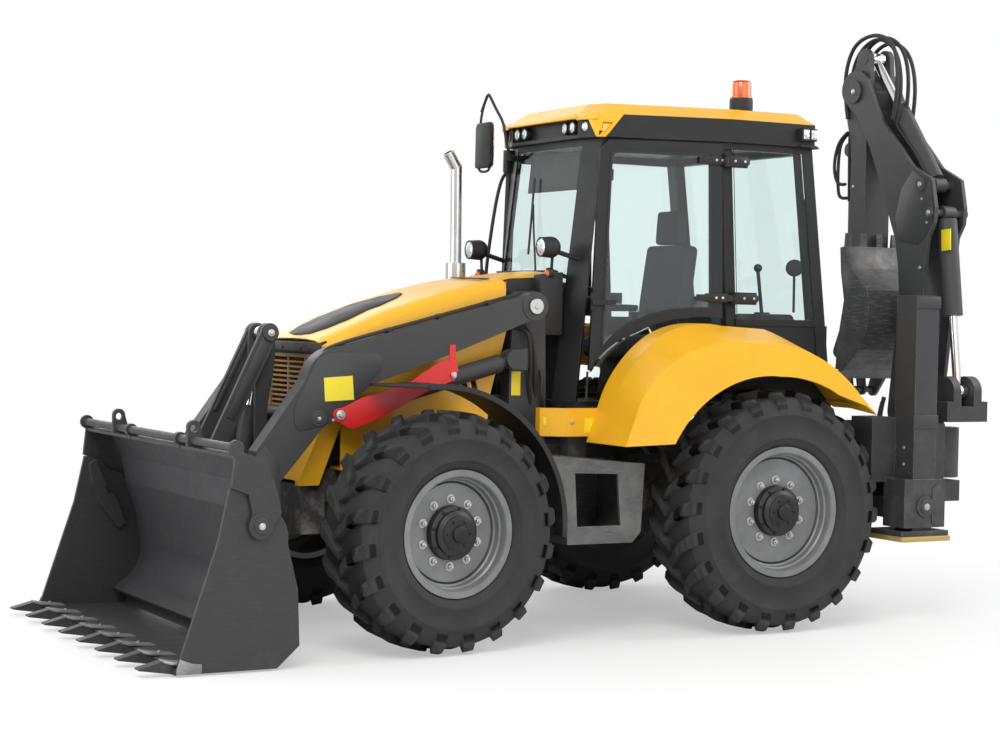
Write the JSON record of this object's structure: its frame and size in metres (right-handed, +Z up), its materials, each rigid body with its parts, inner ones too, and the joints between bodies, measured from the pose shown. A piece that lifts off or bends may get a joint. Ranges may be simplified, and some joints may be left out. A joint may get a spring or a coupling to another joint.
{
  "type": "backhoe loader",
  "caption": "Wheeled backhoe loader with a clam front bucket, glazed cab, stabilisers and a side-shift backhoe folded at the rear.",
  "frame": {"origin": "on the ground under the middle of the whole machine", "axes": "+X forward along the machine's length, +Y to its left, +Z up"},
  "size_m": [5.657, 2.456, 3.595],
  "materials": {
    "yellow_paint": "semi-gloss warm yellow paint",
    "grey_paint": "satin dark grey paint, worn at edges",
    "black_paint": "satin black paint",
    "red_paint": "gloss red paint",
    "tyre_rubber": "dusty black rubber",
    "rim_paint": "silver paint with a black hub",
    "tinted_glass": "green tinted",
    "chrome_rod": "polished",
    "exhaust_steel": "bright steel",
    "lamp_parts": "black housings with clear and amber lenses",
    "cab_trim": "dark grey fabric and plastic",
    "grille_mesh": "dull tan-brown",
    "worn_steel": "worn bare steel"
  },
  "bodies": {
    "machine": {"chassis": "black_paint", "driveline": "black_paint", "axles": "black_paint", "hood": "yellow_paint", "engine_panels": "yellow_paint", "grille": "grille_mesh", "exhaust": "exhaust_steel", "front_mudguards": "black_paint", "rear_fenders": "yellow_paint", "side_sills": "yellow_paint", "side_steps": "black_paint", "loader_tower": "grey_paint", "cab_frame": "black_paint", "roof_band": "black_paint", "roof_cap": "yellow_paint", "lamps": "lamp_parts", "mirror": "black_paint", "cab_glass": "tinted_glass", "cab_interior": "cab_trim", "rear_frame": "grey_paint"},
    "wheel_front_left": {"tyre_front_left": "tyre_rubber", "rim_front_left": "rim_paint"},
    "wheel_front_right": {"tyre_front_right": "tyre_rubber", "rim_front_right": "rim_paint"},
    "wheel_rear_left": {"tyre_rear_left": "tyre_rubber", "rim_rear_left": "rim_paint"},
    "wheel_rear_right": {"tyre_rear_right": "tyre_rubber", "rim_rear_right": "rim_paint"},
    "knuckle_left": {"knuckle_left": "black_paint"},
    "door_left": {"door_left": "black_paint", "door_glass_left": "tinted_glass"},
    "stabiliser_leg_left": {"stabiliser_leg_left": "grey_paint"},
    "knuckle_right": {"knuckle_right": "black_paint"},
    "door_right": {"door_right": "black_paint", "door_glass_right": "tinted_glass"},
    "stabiliser_leg_right": {"stabiliser_leg_right": "grey_paint"},
    "loader_arms": {"loader_arms": "grey_paint", "safety_struts": "red_paint"},
    "lift_barrels": {"lift_barrels": "grey_paint"},
    "lift_rods": {"lift_rods": "chrome_rod"},
    "tilt_lever": {"tilt_lever": "grey_paint"},
    "tilt_link": {"tilt_link": "grey_paint"},
    "tilt_barrel": {"tilt_barrel": "grey_paint"},
    "tilt_rod": {"tilt_rod": "chrome_rod"},
    "loader_bucket": {"loader_bucket": "grey_paint"},
    "bucket_clam": {"bucket_clam": "grey_paint"},
    "carriage": {"carriage": "grey_paint"},
    "kingpost": {"kingpost": "grey_paint"},
    "boom": {"boom": "grey_paint"},
    "boom_barrel": {"boom_barrel": "grey_paint"},
    "boom_rod": {"boom_rod": "chrome_rod"},
    "dipper": {"dipper": "grey_paint"},
    "dipper_barrel": {"dipper_barrel": "grey_paint"},
    "dipper_rod": {"dipper_rod": "chrome_rod"},
    "hoe_bucket": {"hoe_bucket": "worn_steel"},
    "hoe_lever": {"hoe_lever": "grey_paint"},
    "hoe_link": {"hoe_link": "grey_paint"},
    "hoe_barrel": {"hoe_barrel": "grey_paint"},
    "hoe_rod": {"hoe_rod": "chrome_rod"}
  },
  "joints": [
    {"name": "spin_rear_left", "type": "hinge", "parent": "machine", "child": "wheel_rear_left", "pos_m": [-1.0385, 0.956, 0.705], "axis": [0, 1, 0], "continuous": true},
    {"name": "spin_rear_right", "type": "hinge", "parent": "machine", "child": "wheel_rear_right", "pos_m": [-1.0385, -0.956, 0.705], "axis": [0, 1, 0], "continuous": true},
    {"name": "steer_left", "type": "hinge", "parent": "machine", "child": "knuckle_left", "pos_m": [1.1115, 0.78, 0.648], "axis": [0, 0, 1], "range_deg": [-31, 19]},
    {"name": "steer_right", "type": "hinge", "parent": "machine", "child": "knuckle_right", "pos_m": [1.1115, -0.78, 0.648], "axis": [0, 0, 1], "range_deg": [-31, 19]},
    {"name": "spin_front_left", "type": "hinge", "parent": "knuckle_left", "child": "wheel_front_left", "pos_m": [1.0931, 0.95504, 0.648], "axis": [-0.1045, 0.9945, 0], "continuous": true},
    {"name": "spin_front_right", "type": "hinge", "parent": "knuckle_right", "child": "wheel_front_right", "pos_m": [1.1299, -0.95504, 0.648], "axis": [-0.1045, 0.9945, 0], "continuous": true},
    {"name": "loader_lift", "type": "hinge", "parent": "machine", "child": "loader_arms", "pos_m": [0.3155, 0, 1.863], "axis": [0, -1, 0], "range_deg": [0, 85]},
    {"name": "lift_barrel_pivot", "type": "hinge", "parent": "machine", "child": "lift_barrels", "pos_m": [0.4315, 0, 1.56], "axis": [0, -1, 0], "range_deg": [0, 83.85]},
    {"name": "lift_rod_slide", "type": "slide", "parent": "lift_barrels", "child": "lift_rods", "axis": [0.9631, 0, -0.2691], "range_m": [0, 0.4407]},
    {"name": "bucket_tilt", "type": "hinge", "parent": "loader_arms", "child": "loader_bucket", "pos_m": [1.8915, 0, 0.33], "axis": [0, 1, 0], "range_deg": [-8, 65]},
    {"name": "tilt_lever_pivot", "type": "hinge", "parent": "loader_arms", "child": "tilt_lever", "pos_m": [1.7615, 0, 1.04], "axis": [0, 1, 0], "range_deg": [-10.61, 82.62]},
    {"name": "tilt_link_pivot", "type": "hinge", "parent": "tilt_lever", "child": "tilt_link", "pos_m": [1.7445, 0, 1.687], "axis": [0, 1, 0], "range_deg": [-69.4, 8.98]},
    {"name": "tilt_barrel_pivot", "type": "hinge", "parent": "loader_arms", "child": "tilt_barrel", "pos_m": [1.9215, 0, 0.6], "axis": [0, 1, 0], "range_deg": [-6.59, 49.95]},
    {"name": "tilt_rod_slide", "type": "slide", "parent": "tilt_barrel", "child": "tilt_rod", "axis": [-0.1607, 0, 0.987], "range_m": [-0.3228, 0.0432]},
    {"name": "clam_open", "type": "hinge", "parent": "loader_bucket", "child": "bucket_clam", "pos_m": [2.2275, 0, 0.735], "axis": [0, -1, 0], "range_deg": [0, 60]},
    {"name": "door_left_hinge", "type": "hinge", "parent": "machine", "child": "door_left", "pos_m": [-0.8785, 0.785, 2.3], "axis": [0.1045, 0, 0.9945], "range_deg": [0, 75]},
    {"name": "door_right_hinge", "type": "hinge", "parent": "machine", "child": "door_right", "pos_m": [-0.8785, -0.785, 2.3], "axis": [-0.1045, 0, -0.9945], "range_deg": [0, 75]},
    {"name": "stabiliser_left_down", "type": "slide", "parent": "machine", "child": "stabiliser_leg_left", "axis": [0, 0, -1], "range_m": [0, 0.515]},
    {"name": "stabiliser_right_down", "type": "slide", "parent": "machine", "child": "stabiliser_leg_right", "axis": [0, 0, -1], "range_m": [0, 0.515]},
    {"name": "side_shift", "type": "slide", "parent": "machine", "child": "carriage", "axis": [0, -1, 0], "range_m": [0, 1.44]},
    {"name": "boom_slew", "type": "hinge", "parent": "carriage", "child": "kingpost", "pos_m": [-2.5385, 0.72, 0], "axis": [0, 0, -1], "range_deg": [0, 180]},
    {"name": "boom_lower", "type": "hinge", "parent": "kingpost", "child": "boom", "pos_m": [-2.5385, 0.5, 1.25], "axis": [1, 0, 0], "range_deg": [0, 88]},
    {"name": "boom_barrel_pivot", "type": "hinge", "parent": "boom", "child": "boom_barrel", "pos_m": [-2.5385, 0.75, 2.5], "axis": [1, 0, 0], "range_deg": [-10, 0]},
    {"name": "boom_rod_slide", "type": "slide", "parent": "boom_barrel", "child": "boom_rod", "axis": [0, 0.1295, -0.9916], "range_m": [0, 0.5339]},
    {"name": "dipper_swing", "type": "hinge", "parent": "boom", "child": "dipper", "pos_m": [-2.5385, -0.027, 3.316], "axis": [-1, 0, 0], "range_deg": [0, 120]},
    {"name": "dipper_barrel_pivot", "type": "hinge", "parent": "boom", "child": "dipper_barrel", "pos_m": [-2.5385, 0.66, 2.68], "axis": [-1, 0, 0], "range_deg": [-4.45, 0]},
    {"name": "dipper_rod_slide", "type": "slide", "parent": "dipper_barrel", "child": "dipper_rod", "axis": [0, -0.6015, 0.7989], "range_m": [-0.3749, 0]},
    {"name": "hoe_bucket_curl", "type": "hinge", "parent": "dipper", "child": "hoe_bucket", "pos_m": [-2.5385, 0, 1.6], "axis": [-1, 0, 0], "range_deg": [0, 121]},
    {"name": "hoe_lever_pivot", "type": "hinge", "parent": "dipper", "child": "hoe_lever", "pos_m": [-2.5385, -0.05, 1.85], "axis": [-1, 0, 0], "range_deg": [0, 121]},
    {"name": "hoe_link_pivot", "type": "hinge", "parent": "hoe_lever", "child": "hoe_link", "pos_m": [-2.5385, -0.16, 1.614], "axis": [-1, 0, 0], "range_deg": [-121, 0]},
    {"name": "hoe_barrel_pivot", "type": "hinge", "parent": "dipper", "child": "hoe_barrel", "pos_m": [-2.5385, -0.17, 2.95], "axis": [-1, 0, 0], "range_deg": [0, 9.33]},
    {"name": "hoe_rod_slide", "type": "slide", "parent": "hoe_barrel", "child": "hoe_rod", "axis": [0, 0.0075, -1], "range_m": [-0.4434, 0]}
  ],
  "couplings": [
    {"joint": "steer_right", "follows": "steer_left", "ratio": 1},
    {"joint": "lift_barrel_pivot", "follows": "loader_lift", "ratio": 0.98057},
    {"joint": "lift_rod_slide", "follows": "loader_lift", "m_per_rad": 0.29436},
    {"joint": "tilt_lever_pivot", "follows": "bucket_tilt", "ratio": 1.2634},
    {"joint": "tilt_link_pivot", "follows": "bucket_tilt", "ratio": -1.06},
    {"joint": "tilt_barrel_pivot", "follows": "bucket_tilt", "ratio": 0.76077},
    {"joint": "tilt_rod_slide", "follows": "bucket_tilt", "m_per_rad": -0.28102},
    {"joint": "boom_barrel_pivot", "follows": "boom_lower", "ratio": -0.108},
    {"joint": "boom_rod_slide", "follows": "boom_lower", "m_per_rad": 0.345},
    {"joint": "dipper_barrel_pivot", "follows": "dipper_swing", "ratio": -0.0329},
    {"joint": "dipper_rod_slide", "follows": "dipper_swing", "m_per_rad": -0.1771},
    {"joint": "hoe_bucket_curl", "follows": "dipper_swing", "ratio": 1},
    {"joint": "hoe_lever_pivot", "follows": "dipper_swing", "ratio": 1},
    {"joint": "hoe_link_pivot", "follows": "dipper_swing", "ratio": -1},
    {"joint": "hoe_barrel_pivot", "follows": "dipper_swing", "ratio": 0.07362},
    {"joint": "hoe_rod_slide", "follows": "dipper_swing", "m_per_rad": -0.2098}
  ]
}
